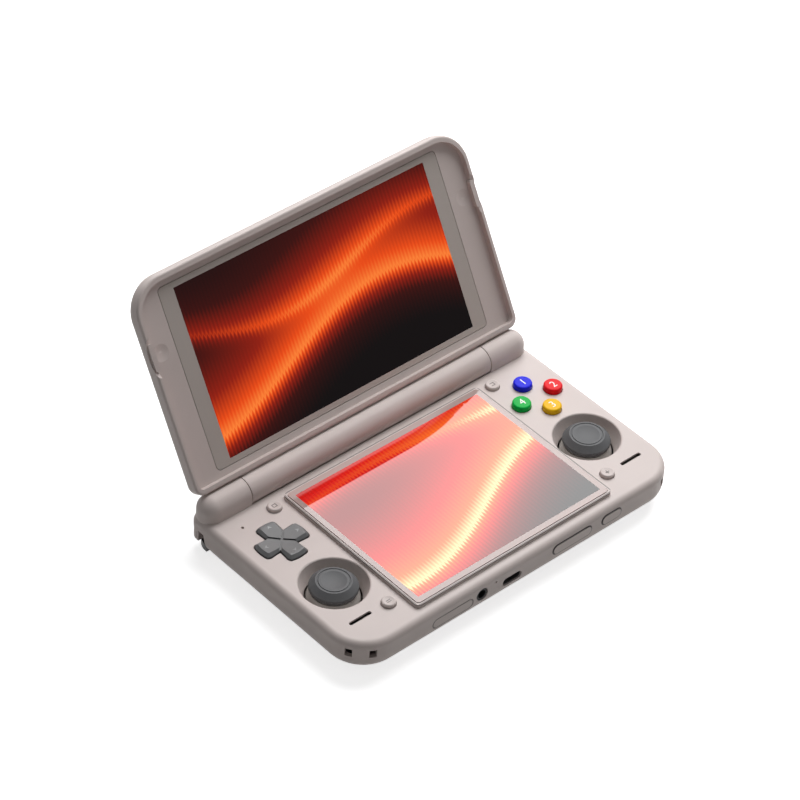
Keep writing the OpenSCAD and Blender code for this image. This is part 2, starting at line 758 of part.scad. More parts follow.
module dpad_cap() color(rubber_c) dpad_frame() difference() {
    union() {
        for (turn = [0:90:270]) rotate([0, 0, turn]) petal();
        translate([0, 0, dpad_flange_z]) cylinder(r = dpad_flange_r, h = 0.5);
        translate([0, 0, dpad_flange_z]) cylinder(r = 4.6, h = 1.6);
    }
    // Thumb hollow and the crossed grooves between the petals
    translate([0, 0, dpad_rise + 90 - 0.4]) sphere(r = 90, $fn = 120);
    for (turn = [45, 135]) rotate([0, 0, turn])
        translate([-TOP / 2, -dpad_groove / 2, dpad_rise - 0.9]) cube([TOP, dpad_groove, 2]);
    translate([0, 0, ceiling_z - 2]) cylinder(r = 2.4, h = 1.8 + pivot_ball_r + running);
}

module dpad_pivot() color(black_c) dpad_frame() translate([0, 0, ceiling_z - 0.2]) {
    translate([0, 0, -0.7]) cylinder(r = 2.1, h = 1);
    sphere(r = pivot_ball_r);
}

// ---------------------------------------------------------------- buttons

// A round button: soft-edged top, hollowed by dish, straight body and a flange under the deck
module round_button(r, rise, edge_r, dish) {
    rotate_extrude() difference() {
        union() {
            translate([0, ceiling_z - flange_t]) square([r, rise - ceiling_z + flange_t]);
            translate([0, ceiling_z - flange_t]) square([r + flange_out, flange_t - 0.02]);
        }
        round_cut(r, rise, edge_r, 1);
        if (dish > 0) translate([0, rise + dish_r - dish]) circle(r = dish_r);
    }
}

module face_button(at, tint) color(tint) deck_frame()
    translate([pad_x + face_pitch * at[0], pad_y + face_pitch * at[1], 0])
        round_button(face_r, face_rise, 0.8, 0);

module function_button(side, y) color(body_c) deck_frame() on_side(side)
    translate([fn_x, y, 0]) round_button(fn_r, fn_rise, 0.6, 0.3);

// Silicone sheet under a group of buttons, with a dome under each
module face_button_membrane() color("#D9D4CE") deck_frame() translate([pad_x, pad_y, 0]) {
    plate(23.5, 23.5, 4, membrane_top - dome_h - membrane_t, membrane_top - dome_h);
    for (at = face_at) translate([face_pitch * at[0], face_pitch * at[1], membrane_top - dome_h - 0.1])
        cylinder(r1 = 3.4, r2 = 2.6, h = dome_h + 0.1);
}

module dpad_membrane() color("#D9D4CE") dpad_frame() {
    plate(23.5, 23.5, 4, membrane_top - dome_h - membrane_t, membrane_top - dome_h);
    for (at = face_at) translate([7.2 * at[0], 7.2 * at[1], membrane_top - dome_h - 0.1])
        cylinder(r1 = 3, r2 = 2.3, h = dome_h + 0.1);
    translate([0, 0, membrane_top - dome_h - 0.1])
        cylinder(r = 1.8, h = ceiling_z - 1.85 - membrane_top + dome_h + 0.1);
}

// Small push switch on the upright board, behind a key
module key_switch(x, y) translate([x - 1.5, y, volume_slot[1] - 1.3])
    cube([3, key_board_y - y + 0.1, 2.6]);

module control_boards() color(board_c) deck_frame() {
    for (side = [-1, 1]) translate([side * pad_x, pad_y + 2.7, 0])
        plate(27, 30, 2, control_board_z, control_board_z + board_t);
    translate([12, key_board_y, main_board_top]) cube([38, 0.8, 5]);
    for (x = [volume_slot[0] - 7, volume_slot[0] + 7]) key_switch(x, key_board_y - 1);
    key_switch(power_slot[0], key_board_y - 1.5);
}

// ---------------------------------------------------------------- shoulder controls

module shoulder_frame(side) deck_frame() on_side(side) children();

module pin_hole(z0, z1) translate([shoulder_pin[0], shoulder_pin[1], z0])
    cylinder(r = shoulder_pin_r + running, h = z1 - z0);

// Plan of a shoulder control: a bar from the pin to a rounded outer corner
module shoulder_plan(front, rear, out, round_r) {
    translate(shoulder_pin) circle(r = 2.8);
    difference() {
        polygon([[shoulder_pin[0], shoulder_pin[1] - 2.8], [out - 9, front + 1.2],
            [out - 2.4, front - 1.2], [out, front - 1.2], [out, rear],
            [shoulder_pin[0] + 6, rear], [shoulder_pin[0], shoulder_pin[1] + 2.8]]);
        round_cut(out, rear, round_r, 1);
    }
}

// Side view of a shoulder control, seen along X: rounded along its rear edges
module shoulder_profile(rear, low, top, low_r, top_r) translate([bay_x - 1, 0, 0])
    rotate([90, 0, 90]) linear_extrude(height = TOP) difference() {
        translate([bay_y, low]) square([rear - bay_y, top - low]);
        round_cut(rear, top, top_r, 1);
        round_cut(rear, low, low_r, -1);
    }

// Bar along the rear edge; its outer part rises past the bracket's ear
module shoulder_button(side) color(body_c) shoulder_frame(side) difference() {
    intersection() {
        translate([0, 0, shoulder_low]) linear_extrude(height = TOP)
            shoulder_plan(bay_y + 6.4, shoulder_rear, shoulder_out, 4);
        shoulder_profile(shoulder_rear, shoulder_low, bay_top - 0.25, 2.6, 1.5);
    }
    translate([bay_x - 1, bay_y, shoulder_top]) cube([bracket_w + 1.6, TOP, TOP]);
    pin_hole(-TOP, TOP);
}

// Trigger below the shoulder button; it narrows towards the grip
module trigger(side) color(black_c) shoulder_frame(side) difference() {
    intersection() {
        translate([0, 0, trigger_low]) linear_extrude(height = trigger_top - trigger_low)
            shoulder_plan(bay_y + 2.6, trigger_rear, trigger_out, 7);
        shoulder_profile(trigger_rear, trigger_low, trigger_top, 2.6, 0.4);
    }
    pin_hole(-TOP, TOP);
}

// Bracket behind the bay: a plate with two ears and the upright pin
module shoulder_bracket(side) color(steel_c) shoulder_frame(side) {
    ear_z = bay_top - shoulder_ear - 0.05;
    translate([bay_x, bay_y, belly_z + 2]) cube([bracket_w, 0.8, bay_top - belly_z - 2]);
    translate([bay_x, bay_y, ear_z]) cube([bracket_w, 7.4, bay_top - ear_z]);
    translate([shoulder_pin[0], shoulder_pin[1], trigger_low + 0.2])
        cylinder(r = shoulder_pin_r, h = ear_z - trigger_low);
}

module trigger_spring(side) color(steel_c) shoulder_frame(side)
    translate([shoulder_pin[0], shoulder_pin[1], shoulder_low - 0.35]) difference() {
        cylinder(r = 2.4, h = 0.3);
        translate([0, 0, -1]) cylinder(r = shoulder_pin_r, h = 2);
    }

// ---------------------------------------------------------------- front controls and ports

module volume_rocker() color(body_c) deck_frame() at_front(volume_slot) {
    pill(volume_slot[2], volume_slot[3], -key_proud, wall + rocker_float + 0.1);
    translate([-volume_slot[2] / 2 - 0.6, wall + rocker_float, -1.6])
        cube([volume_slot[2] + 1.2, 0.7, 3.2]);
}

module power_button() color(body_c) deck_frame() at_front(power_slot) {
    pill(power_slot[2], power_slot[3], -key_proud, wall + 0.2);
    translate([-power_slot[2] / 2 - 0.6, wall + 0.05, -1.6]) cube([power_slot[2] + 1.2, 0.7, 3.2]);
}

module card_cover() color(body_c) deck_frame() at_front(card_slot)
    pill(card_slot[2], card_slot[3], 0, wall + 0.2);

module usb_port() color(steel_c) deck_frame() at_front(usb) {
    difference() {
        pill(8.94, 3.2, 0.6, 8);
        pill(8.3, 2.6, 0, 7.4);
    }
    translate([-3.2, 2, -0.35]) cube([6.4, 5.8, 0.7]);
    translate([-4.2, 4, main_board_top - usb[1]]) cube([8.4, 4, 0.3]);
}

module headphone_jack() color(black_c) deck_frame() at_front(jack) difference() {
    union() {
        y_rod(2.6, 0.3, wall + 0.6);
        translate([-3.1, wall + 0.4, main_board_top - jack[1]]) cube([6.2, jack_depth, 5.2]);
    }
    y_rod(jack_r, 0, jack_depth + 0.3);
}

module card_reader() color(steel_c) deck_frame()
    translate([card_slot[0], front_y + wall + 0.7, main_board_top]) difference() {
        translate([-7.2, 0, 0]) cube([14.4, 15, 1.9]);
        translate([-5.7, -1, 0.5]) cube([11.4, 15, 0.9]);
    }

// ---------------------------------------------------------------- inside the base

module main_board() color(board_c) deck_frame() difference() {
    translate([0, (board_front + board_rear) / 2, 0])
        plate(2 * glass_edge - 2, board_rear - board_front, 2, main_board_top - board_t, main_board_top);
    both_sides() for (at = boss_xy) translate([at[0], at[1], -TOP]) cylinder(r = boss_r + 0.4, h = TOP);
}

module battery() color("#2C2F36") deck_frame() translate([0, board_rear - 2.5 - battery_d / 2, 0])
    plate(2 * glass_edge - 22, battery_d, 2, main_board_top, main_board_top + battery_t);

module fan_frame() color(black_c) deck_frame() translate([fan_at[0], fan_at[1], floor_z]) {
    difference() {
        plate(27, 27, 3, 0, 5.4);
        translate([0, 0, 0.8]) cylinder(r = 12.2, h = 10);
        translate([0, 0, -1]) difference() {
            cylinder(r = 10.9, h = 3);
            cylinder(r = 3, h = 4);
            for (turn = [0:60:120]) rotate([0, 0, turn]) translate([-12, -0.8, -1]) cube([24, 1.6, 5]);
        }
        translate([-9, 4, 0.8]) cube([18, 20, 10]);
    }
    cylinder(r = 1, h = 4.4);
}

module fan_rotor() color("#3A3A3C") deck_frame()
    translate([fan_at[0], fan_at[1], floor_z + 1.2]) difference() {
        union() {
            cylinder(r = 4.2, h = 3.8);
            for (i = [0:12]) rotate([0, 0, i * 360 / 13]) translate([3.6, -0.35, 0.3])
                rotate([0, 0, 18]) cube([7.4, 0.7, 3.2]);
        }
        translate([0, 0, -1]) cylinder(r = 1 + running, h = 4.3);
    }

module heat_sink() color("#B46A3C") deck_frame()
    translate([-14 - sink_w / 2, screen_to_hinge - 6.4, floor_z]) {
        cube([sink_w, 6.6, 0.8]);
        for (i = [0:12]) translate([i * (sink_w - 0.6) / 12, 0, 0.4]) cube([0.6, 6.6, 4.6]);
    }

module speaker(side) color(black_c) deck_frame() on_side(side)
    translate([speaker_x, -29, 0]) plate(13, 8, 3, floor_z, floor_z + 7);

module vibration_motor() color(steel_c) deck_frame() translate([0, 24, floor_z]) {
    translate([pad_x - 6.4, 0, motor_r]) x_rod(motor_r, 0, 11);
    translate([pad_x - 6.4, -motor_r, 0]) cube([8, 2 * motor_r, 1.4]);
}

// ---------------------------------------------------------------- feet and screws

module rubber_feet() color(black_c) deck_frame() both_sides() {
    translate([front_feet[0], front_feet[1], belly_z - grip_drop - foot_proud])
        cylinder(r = foot_r, h = grip_drop + foot_proud);
    translate([rear_foot[0], rear_foot[1], belly_z - grip_drop - foot_proud])
        cylinder(r = rear_foot[2], h = foot_proud);
}

module case_screws() color(steel_c) deck_frame() both_sides() for (at = boss_xy)
    translate([at[0], at[1], belly_z + 0.3]) {
        cylinder(r = screw_r - 0.02, h = -seam_drop - belly_z + 3.5);
        cylinder(r = screw_head_r, h = screw_head_h - 0.3);
    }

// ---------------------------------------------------------------- nodes

lid_bezel();
lid_back_cover();
upper_glass();
upper_display_panel();
lid_magnets();
display_flex();
hinge_module(-1);  // hinge_module_left
hinge_module(1);  // hinge_module_right
hinge_shaft(-1);  // hinge_shaft_left
hinge_shaft(1);  // hinge_shaft_right
base_top_shell();
base_bottom_shell();
lower_glass();
lower_display_panel();
stick_module(-1);  // stick_module_left
stick_module(1);  // stick_module_right
stick_gimbal(-1);  // stick_gimbal_left
stick_gimbal(1);  // stick_gimbal_right
stick_shaft(-1);  // stick_shaft_left
stick_shaft(1);  // stick_shaft_right
stick_cap(-1);  // stick_cap_left
stick_cap(1);  // stick_cap_right
dpad_cap();
dpad_pivot();
face_button(face_at[0], "#2E35E8");  // face_button_top
face_button(face_at[1], "#F22A35");  // face_button_right
face_button(face_at[2], "#0FD267");  // face_button_left
face_button(face_at[3], "#F2C13A");  // face_button_bottom
function_button(-1, fn_ys[0]);  // function_button_rear_left
function_button(-1, fn_ys[1]);  // function_button_front_left
function_button(1, fn_ys[0]);  // function_button_rear_right
function_button(1, fn_ys[1]);  // function_button_front_right
face_button_membrane();
dpad_membrane();
shoulder_button(-1);  // shoulder_button_left
shoulder_button(1);  // shoulder_button_right
trigger(-1);  // trigger_left
trigger(1);  // trigger_right
shoulder_bracket(-1);  // shoulder_bracket_left
shoulder_bracket(1);  // shoulder_bracket_right
trigger_spring(-1);  // trigger_spring_left
trigger_spring(1);  // trigger_spring_right
volume_rocker();
power_button();
card_cover();
usb_port();
headphone_jack();
card_reader();
main_board();
control_boards();
battery();
fan_frame();
fan_rotor();
heat_sink();
speaker(-1);  // speaker_left
speaker(1);  // speaker_right
vibration_motor();
rubber_feet();
case_screws();
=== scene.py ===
"""Clamshell handheld game console: finishes, screen pictures, small marks and a studio."""
import json
import math

import bpy
import bmesh
from mathutils import Matrix, Vector


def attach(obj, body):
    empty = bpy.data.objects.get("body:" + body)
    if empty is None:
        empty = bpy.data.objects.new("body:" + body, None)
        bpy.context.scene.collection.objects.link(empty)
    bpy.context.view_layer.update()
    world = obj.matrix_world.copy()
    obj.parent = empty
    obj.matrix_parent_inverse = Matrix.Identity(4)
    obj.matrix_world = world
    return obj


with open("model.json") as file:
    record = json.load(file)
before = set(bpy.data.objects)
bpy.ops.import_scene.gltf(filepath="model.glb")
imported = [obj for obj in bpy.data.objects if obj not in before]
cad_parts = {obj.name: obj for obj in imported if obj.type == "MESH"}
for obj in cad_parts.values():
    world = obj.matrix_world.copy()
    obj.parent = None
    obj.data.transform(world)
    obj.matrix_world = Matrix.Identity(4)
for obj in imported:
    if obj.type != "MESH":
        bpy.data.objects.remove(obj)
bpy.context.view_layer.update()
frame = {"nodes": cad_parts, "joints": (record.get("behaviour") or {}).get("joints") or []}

bl_info = {
    "name": "Clamshell Game Console",
    "version": (1, 0, 0),
    "blender": (4, 5, 0),
    "location": "View3D > Sidebar > Console",
    "description": "Dresses the packed console with its plastics, glass, pictures and marks",
    "category": "Object",
}

MM = 0.001
NODES = frame["nodes"]
PLACES = {joint["name"]: Vector(joint["pos_m"]) for joint in frame["joints"] if joint.get("pos_m")}

# The deck frame has its origin on the deck under the middle of the lower screen. The lid frame
# has its origin on the hinge axis, X along the hinge, Y up the lid and Z out of the upper glass.
# Sizes and places from here on are in millimetres unless they say otherwise.
SCREEN_TO_HINGE = 47.3
HINGE_ABOVE_DECK = 2.9
LID_LEAN = math.radians(60.0)
HINGE = PLACES["lid_hinge"]
DECK = Vector((0.0, HINGE.y - SCREEN_TO_HINGE * MM, HINGE.z - HINGE_ABOVE_DECK * MM))
DECK_FRAME = Matrix.Translation(DECK)
LID_FRAME = Matrix.Translation(HINGE) @ Matrix.Rotation(LID_LEAN, 4, "X")

# Lit pictures: width, height and how far up their own frame the middle lies
UPPER_PICTURE = (121.8, 68.5, 47.85)
LOWER_PICTURE = (91.4, 68.5, 0.0)
# Middles of the controls, from their joints. The face buttons mirror the pad.
STICK_X, STICK_Y = ((PLACES["stick_tilt_x_right"] - DECK) / MM)[:2]
PAD_X, PAD_Y = ((PLACES["dpad_tilt_x"] - DECK) / MM)[:2]
FACE_X, FACE_Y = -PAD_X, PAD_Y
# Face buttons: how far each lies from their middle, the height of their tops and of a digit
FACE_PITCH, FACE_TOP, DIGIT_HEIGHT = 8.3, 2.2, 3.3
# Arrow marks of the pad: how far out and how high they lie, and the slope of the petals in degrees
ARROW_OUT, PETAL_TOP, PETAL_SLOPE = 7.3, 1.5, -4.7
# Function buttons: how far out they lie, the places of the rear and front pairs, the height of
# their tops, and the width and thickness of a stroke of ink
FUNCTION_X, FUNCTION_REAR_Y, FUNCTION_FRONT_Y, FUNCTION_TOP = 55.0, 35.2, -28.7, 1.1
INK_WIDTH, INK_THICKNESS = 0.3, 0.14
# Front wall of the base, and the keys on it: middle, height over the deck, width, height and
# darkness of the painted shadow in the seam round it
FRONT_WALL_Y = -41.6
FRONT_KEYS = ((24.0, -5.3, 19.6, 4.2, 0.85), (44.3, -5.1, 9.8, 4.2, 0.85),
              (-35.7, -6.6, 19.4, 4.0, 0.55))
# Half sizes of the opening for the lower glass. Its rim: width, the heights where its shade
# begins and is full, and how dark that is
GLASS_HALF_X, GLASS_HALF_Y = 48.45, 37.2
RIM_WIDTH, RIM_FOOT, RIM_TOP, RIM_SHADE = 0.7, 0.6, 1.1, 0.6
# Speaker slots: middle and half size across and back, and the height under which painted shade
# darkens them
SPEAKER_X, SPEAKER_HALF_X = 68.0, 5.5
SPEAKER_Y, SPEAKER_HALF_Y = -28.1, 1.1
SPEAKER_SHADE_Z = -0.8


# ------------------------------------------------------------------ colours, nodes and meshes

def linear(code):
    """An sRGB hex colour as linear red, green, blue and alpha."""
    parts = [int(code[i:i + 2], 16) / 255 for i in (1, 3, 5)]
    light = [c / 12.92 if c <= 0.04045 else ((c + 0.055) / 1.055) ** 2.4 for c in parts]
    return tuple(light) + (1.0,)


def add_node(tree, kind, sockets=(), stops=(), **settings):
    """Adds a shader node with its settings. Its sockets come in order or by name, each as a value
    or as a node or output to link. A colour ramp also takes its stops: places and colours."""
    made = tree.nodes.new("ShaderNode" + kind)
    for name, value in settings.items():
        setattr(made, name, value)
    named = sockets if isinstance(sockets, dict) else dict(enumerate(sockets))
    for name, value in named.items():
        if isinstance(value, bpy.types.Node):
            value = value.outputs[0]
        if isinstance(value, bpy.types.NodeSocket):
            tree.links.new(value, made.inputs[name])
        else:
            made.inputs[name].default_value = value
    if stops:
        points = made.color_ramp.elements
        while len(points) < len(stops):
            points.new(1.0)
        for point, (place, colour) in zip(points, stops):
            point.position = place
            point.color = colour
    return made


def new_material(name):
    """An empty material and its node tree."""
    made = bpy.data.materials.get(name)
    if made is None:
        made = bpy.data.materials.new(name)
    made.use_nodes = True
    made.node_tree.nodes.clear()
    return made, made.node_tree


def finish_material(tree, shader):
    """Links the last shader to the surface."""
    add_node(tree, "OutputMaterial", {"Surface": shader})


def frame_axes(tree, place):
    """Distances along X, Y and Z of a frame, which ride with the node."""
    spot = add_node(tree, "TexCoord").outputs["Object"]
    flat = place.inverted()
    lean = flat.to_euler()
    local = add_node(tree, "Mapping", {"Vector": spot, "Location": flat.translation,
                                       "Rotation": (lean.x, lean.y, lean.z)})
    split = add_node(tree, "SeparateXYZ", (local,))
    return split.outputs["X"], split.outputs["Y"], split.outputs["Z"]


# Slow change of tone across a moulding
CLOUD_SIZE = 14
# Colour of the painted shade in gaps, on rims and in slots
PAINTED_SHADE_COLOUR = "#272321"


def moulded_plastic(name, colour, roughness, grain_mm, depth_mm, mottle=0.02, specular=0.5,
                    shade_paint=None):
    """Injection moulded plastic: one even colour, a fine spark-eroded grain and a soft sheen.
    The last argument may give a factor from 0 to 1 of painted shade, which darkens seams and
    corners."""
    made, tree = new_material(name)
    place = add_node(tree, "TexCoord").outputs["Object"]
    grain = add_node(tree, "TexNoise", {"Vector": place, "Scale": 1.0 / (grain_mm * MM),
                                        "Detail": 2.0, "Roughness": 0.55})
    cloud = add_node(tree, "TexNoise", {"Vector": place, "Scale": 1.0 / (CLOUD_SIZE * MM),
                                        "Detail": 2.0, "Roughness": 0.5})
    dark = tuple(c * (1 - mottle) for c in colour[:3]) + (1.0,)
    light = tuple(min(1.0, c * (1 + mottle)) for c in colour[:3]) + (1.0,)
    tint = add_node(tree, "ValToRGB", (cloud,), stops=((0.3, dark), (0.7, light)))
    # Painted shade: the colour goes dark where the factor says, standing in for shadow
    if shade_paint:
        tint = add_node(tree, "Mix", {"Factor": shade_paint(tree), 6: tint, 7: linear(PAINTED_SHADE_COLOUR)},
                        data_type="RGBA").outputs[2]
    bump = add_node(tree, "Bump", {"Strength": 0.35, "Distance": depth_mm * MM, "Height": grain})
    shine = add_node(tree, "MapRange", {"Value": grain, "To Min": roughness - 0.05,
                                        "To Max": roughness + 0.05})
    finish_material(tree, add_node(tree, "BsdfPrincipled", {
        "Base Color": tint, "Roughness": shine, "IOR": 1.5, "Specular IOR Level": specular,
        "Normal": bump}))
    return made


def rolled_metal(name, colour, roughness, scratch_mm):
    """Stamped or turned metal: a mirror-like sheen broken by fine lines along X."""
    made, tree = new_material(name)
    place = add_node(tree, "TexCoord").outputs["Object"]
    stretch = add_node(tree, "Mapping", {"Vector": place, "Scale": (0.06, 1.0, 1.0)})
    lines = add_node(tree, "TexNoise", {"Vector": stretch, "Scale": 1.0 / (scratch_mm * MM),
                                        "Detail": 3.0})
    shine = add_node(tree, "MapRange", {"Value": lines, "To Min": roughness - 0.1,
                                        "To Max": roughness + 0.1})
    bump = add_node(tree, "Bump", {"Strength": 0.2, "Distance": 0.01 * MM, "Height": lines})
    finish_material(tree, add_node(tree, "BsdfPrincipled", {
        "Base Color": colour, "Metallic": 1.0, "Roughness": shine, "Normal": bump}))
    return made


def dress(material, *nodes):
    """Gives CAD nodes this material."""
    for name in nodes:
        mesh = NODES[name].data
        mesh.materials.clear()
        mesh.materials.append(material)


def add_piece(name, mesh, body, material):
    """Puts a mesh into the scene: it rides on a body and takes its finish from a slot."""
    mesh.materials.append(material)
    made = bpy.data.objects.new(name, mesh)
    bpy.context.scene.collection.objects.link(made)
    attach(made, body)


def new_piece(name, build, place, body, material):
    """A mesh piece made by build(bmesh) in its own frame, set at place, riding on a body."""
    work = bmesh.new()
    build(work)
    work.transform(place)
    bmesh.ops.recalc_face_normals(work, faces=work.faces)
    mesh = bpy.data.meshes.new(name)
    work.to_mesh(mesh)
    work.free()
    add_piece(name, mesh, body, material)


def raised_outline(work, points, z0, z1):
    """A flat-topped solid over a closed outline of (x, y) points, in metres."""
    low = [work.verts.new((x, y, z0)) for x, y in points]
    high = [work.verts.new((x, y, z1)) for x, y in points]
    work.faces.new(list(reversed(low)))
    work.faces.new(high)
    for i in range(len(points)):
        j = (i + 1) % len(points)
        work.faces.new((low[i], low[j], high[j], high[i]))


def ring_between(work, outer, inner, z0, z1):
    """A flat ring between two closed outlines with as many points each."""
    count = len(outer)
    loops = [[work.verts.new((x, y, z)) for x, y in line]
             for line, z in ((outer, z0), (outer, z1), (inner, z1), (inner, z0))]
    for a, b in ((0, 1), (1, 2), (2, 3), (3, 0)):
        for i in range(count):
            j = (i + 1) % count
            work.faces.new((loops[a][i], loops[a][j], loops[b][j], loops[b][i]))


def stroke(work, points, width, z0, z1):
    """A line of even width through (x, y) points with square ends, standing from z0 to z1."""
    for (ax, ay), (bx, by) in zip(points, points[1:]):
        run = Vector((bx - ax, by - ay))
        side = Vector((-run.y, run.x)).normalized() * width / 2
        ahead = run.normalized() * width / 2
        start = Vector((ax, ay)) - ahead
        end = Vector((bx, by)) + ahead
        corners = (start - side, end - side, end + side, start + side)
        raised_outline(work, [tuple(corner) for corner in corners], z0, z1)


# ------------------------------------------------------------------ settings

class ConsoleFinish(bpy.types.PropertyGroup):
    """Colours and grain of the mouldings."""
    shell: bpy.props.FloatVectorProperty(
        name="Shell", description="Colour of the base and lid mouldings", subtype="COLOR", size=4,
        min=0, max=1, default=linear("#D0C4C0"))
    trigger: bpy.props.FloatVectorProperty(
        name="Triggers", description="Colour of the lower triggers", subtype="COLOR", size=4,
        min=0, max=1, default=linear("#232324"))
    rubber: bpy.props.FloatVectorProperty(
        name="Stick rubber", description="Colour of the stick caps", subtype="COLOR", size=4,
        min=0, max=1, default=linear("#57585A"))
    pad: bpy.props.FloatVectorProperty(
        name="Direction pad", description="Colour of the direction pad", subtype="COLOR", size=4,
        min=0, max=1, default=linear("#5C5D5E"))
    blue: bpy.props.FloatVectorProperty(
        name="Rear button", description="Colour of the rear face button", subtype="COLOR", size=4,
        min=0, max=1, default=linear("#1C20E0"))
    red: bpy.props.FloatVectorProperty(
        name="Right button", description="Colour of the right face button", subtype="COLOR", size=4,
        min=0, max=1, default=linear("#EE131F"))
    green: bpy.props.FloatVectorProperty(
        name="Left button", description="Colour of the left face button", subtype="COLOR", size=4,
        min=0, max=1, default=linear("#00B848"))
    yellow: bpy.props.FloatVectorProperty(
        name="Front button", description="Colour of the front face button", subtype="COLOR", size=4,
        min=0, max=1, default=linear("#F4BF16"))
    grain: bpy.props.FloatProperty(
        name="Grain", description="Size of the moulded grain in millimetres", default=0.5,
        min=0.2, max=2)


class ConsoleStage(bpy.types.PropertyGroup):
    """Camera and light of the studio."""
    lens: bpy.props.FloatProperty(
        name="Lens", description="Focal length in millimetres on a 36 mm sensor", default=154.7,
        min=35, max=300)
    key: bpy.props.FloatProperty(
        name="Key light", description="Power of the large lamp overhead", default=6.3,
        min=0, unit="POWER")
    fill: bpy.props.FloatProperty(
        name="Fill", description="Strength of the even light all round", default=0.14, min=0, max=2)


def finish_settings():
    """The colours and grain that the panel shows."""
    return bpy.context.scene.console_finish


# ------------------------------------------------------------------ mouldings

def key_gap_painted_shadow(tree, across, rise, middle, level, width, height, darkness):
    """Painted shadow of the gap round a key with round ends, a dark band just outside of its edge.
    """
    offset = add_node(tree, "Math", (across, middle * MM), operation="SUBTRACT")
    side = add_node(tree, "Math", (offset,), operation="ABSOLUTE")
    beyond = add_node(tree, "Math", (side, (width - height) / 2 * MM), operation="SUBTRACT")
    past = add_node(tree, "Math", (beyond, 0.0), operation="MAXIMUM")
    up = add_node(tree, "Math", (rise, level * MM), operation="SUBTRACT")
    corner = add_node(tree, "CombineXYZ", (past, up))
    out = add_node(tree, "VectorMath", (corner,), operation="LENGTH").outputs["Value"]
    gap = add_node(tree, "Math", (out, (height / 2 + 0.1) * MM), operation="SUBTRACT")
    near = add_node(tree, "Math", (gap,), operation="ABSOLUTE")
    return add_node(tree, "MapRange", {"Value": near, "From Min": 0.2 * MM, "From Max": 0.42 * MM,
                                       "To Min": darkness, "To Max": 0.0})


def rim_shade(tree, side, depth, rise):
    """Painted shade on the edge of the raised rim round the lower glass."""
    past_side = add_node(tree, "Math", (side, GLASS_HALF_X * MM), operation="SUBTRACT")
    past_depth = add_node(tree, "Math", (depth, GLASS_HALF_Y * MM), operation="SUBTRACT")
    outside = add_node(tree, "Math", (past_side, past_depth), operation="MAXIMUM")
    half = RIM_WIDTH / 2 * MM
    ring = add_node(tree, "Math", (outside, half, half), operation="COMPARE")
    edge = add_node(tree, "MapRange", {"Value": rise, "From Min": RIM_FOOT * MM,
                                       "From Max": RIM_TOP * MM, "To Max": RIM_SHADE})
    return add_node(tree, "Math", (edge, ring), operation="MULTIPLY")


def slot_shade(tree, side, back, rise):
    """Painted shade inside the speaker slots."""
    column = add_node(tree, "Math", (side, SPEAKER_X * MM, SPEAKER_HALF_X * MM),
                      operation="COMPARE")
    row = add_node(tree, "Math", (back, SPEAKER_Y * MM, SPEAKER_HALF_Y * MM), operation="COMPARE")
    slot = add_node(tree, "Math", (column, row), operation="MULTIPLY")
    deep = add_node(tree, "Math", (rise, SPEAKER_SHADE_Z * MM), operation="LESS_THAN")
    return add_node(tree, "Math", (slot, deep), operation="MULTIPLY")


def painted_shell_shade(tree):
    """Painted shade round the front keys, on the rim of the lower glass and in the speaker slots.
    """
    across, back, rise = frame_axes(tree, DECK_FRAME)
    side = add_node(tree, "Math", (across,), operation="ABSOLUTE")
    depth = add_node(tree, "Math", (back,), operation="ABSOLUTE")
    front = add_node(tree, "Math", (back, FRONT_WALL_Y * MM), operation="LESS_THAN")
    marks = [rim_shade(tree, side, depth, rise), slot_shade(tree, side, back, rise)]
    for key in FRONT_KEYS:
        gap_shadow = key_gap_painted_shadow(tree, across, rise, *key)
        marks.append(add_node(tree, "Math", (gap_shadow, front), operation="MULTIPLY"))
    total = marks[0]
    for mark in marks[1:]:
        total = add_node(tree, "Math", (total, mark), operation="MAXIMUM")
    return total


class CONSOLE_OT_mouldings(bpy.types.Operator):
    """Base shells, lid and the body-coloured keys"""
    bl_idname = "console.mouldings"
    bl_label = "Shell Mouldings"

    def execute(self, context):
        settings = finish_settings()
        # Injection moulded ABS, spark-eroded tool: even warm grey, dry sheen, a sandy grain. The
        # real grain is about 0.1 mm, drawn at 0.5 mm so that it shows.
        # The shell also takes painted shade round the front keys, on the rim of the lower glass and
        # in the speaker slots.
        shell = moulded_plastic("moulded_abs_warm_grey", tuple(settings.shell), 0.52,
                                settings.grain, 0.03, shade_paint=painted_shell_shade)
        dress(shell, "base_top_shell", "base_bottom_shell", "lid_bezel", "lid_back_cover",
              "function_button_rear_left", "function_button_front_left",
              "function_button_rear_right", "function_button_front_right",
              "shoulder_button_left", "shoulder_button_right",
              "volume_rocker", "power_button", "card_cover")
        # The same ABS dyed black, polished a little by fingers.
        dress(moulded_plastic("moulded_abs_black", tuple(settings.trigger), 0.42, 0.5, 0.02),
              "trigger_left", "trigger_right")
        return {"FINISHED"}


# ------------------------------------------------------------------ screens

# The pictures show light through ribbed glass: width of a rib, how steeply it bends a wave, and
# how much faster a wave fades below its line than above it
RIB_WIDTH = 0.8
RIB_BEND = 3.0
FALL_OFF = 3.2


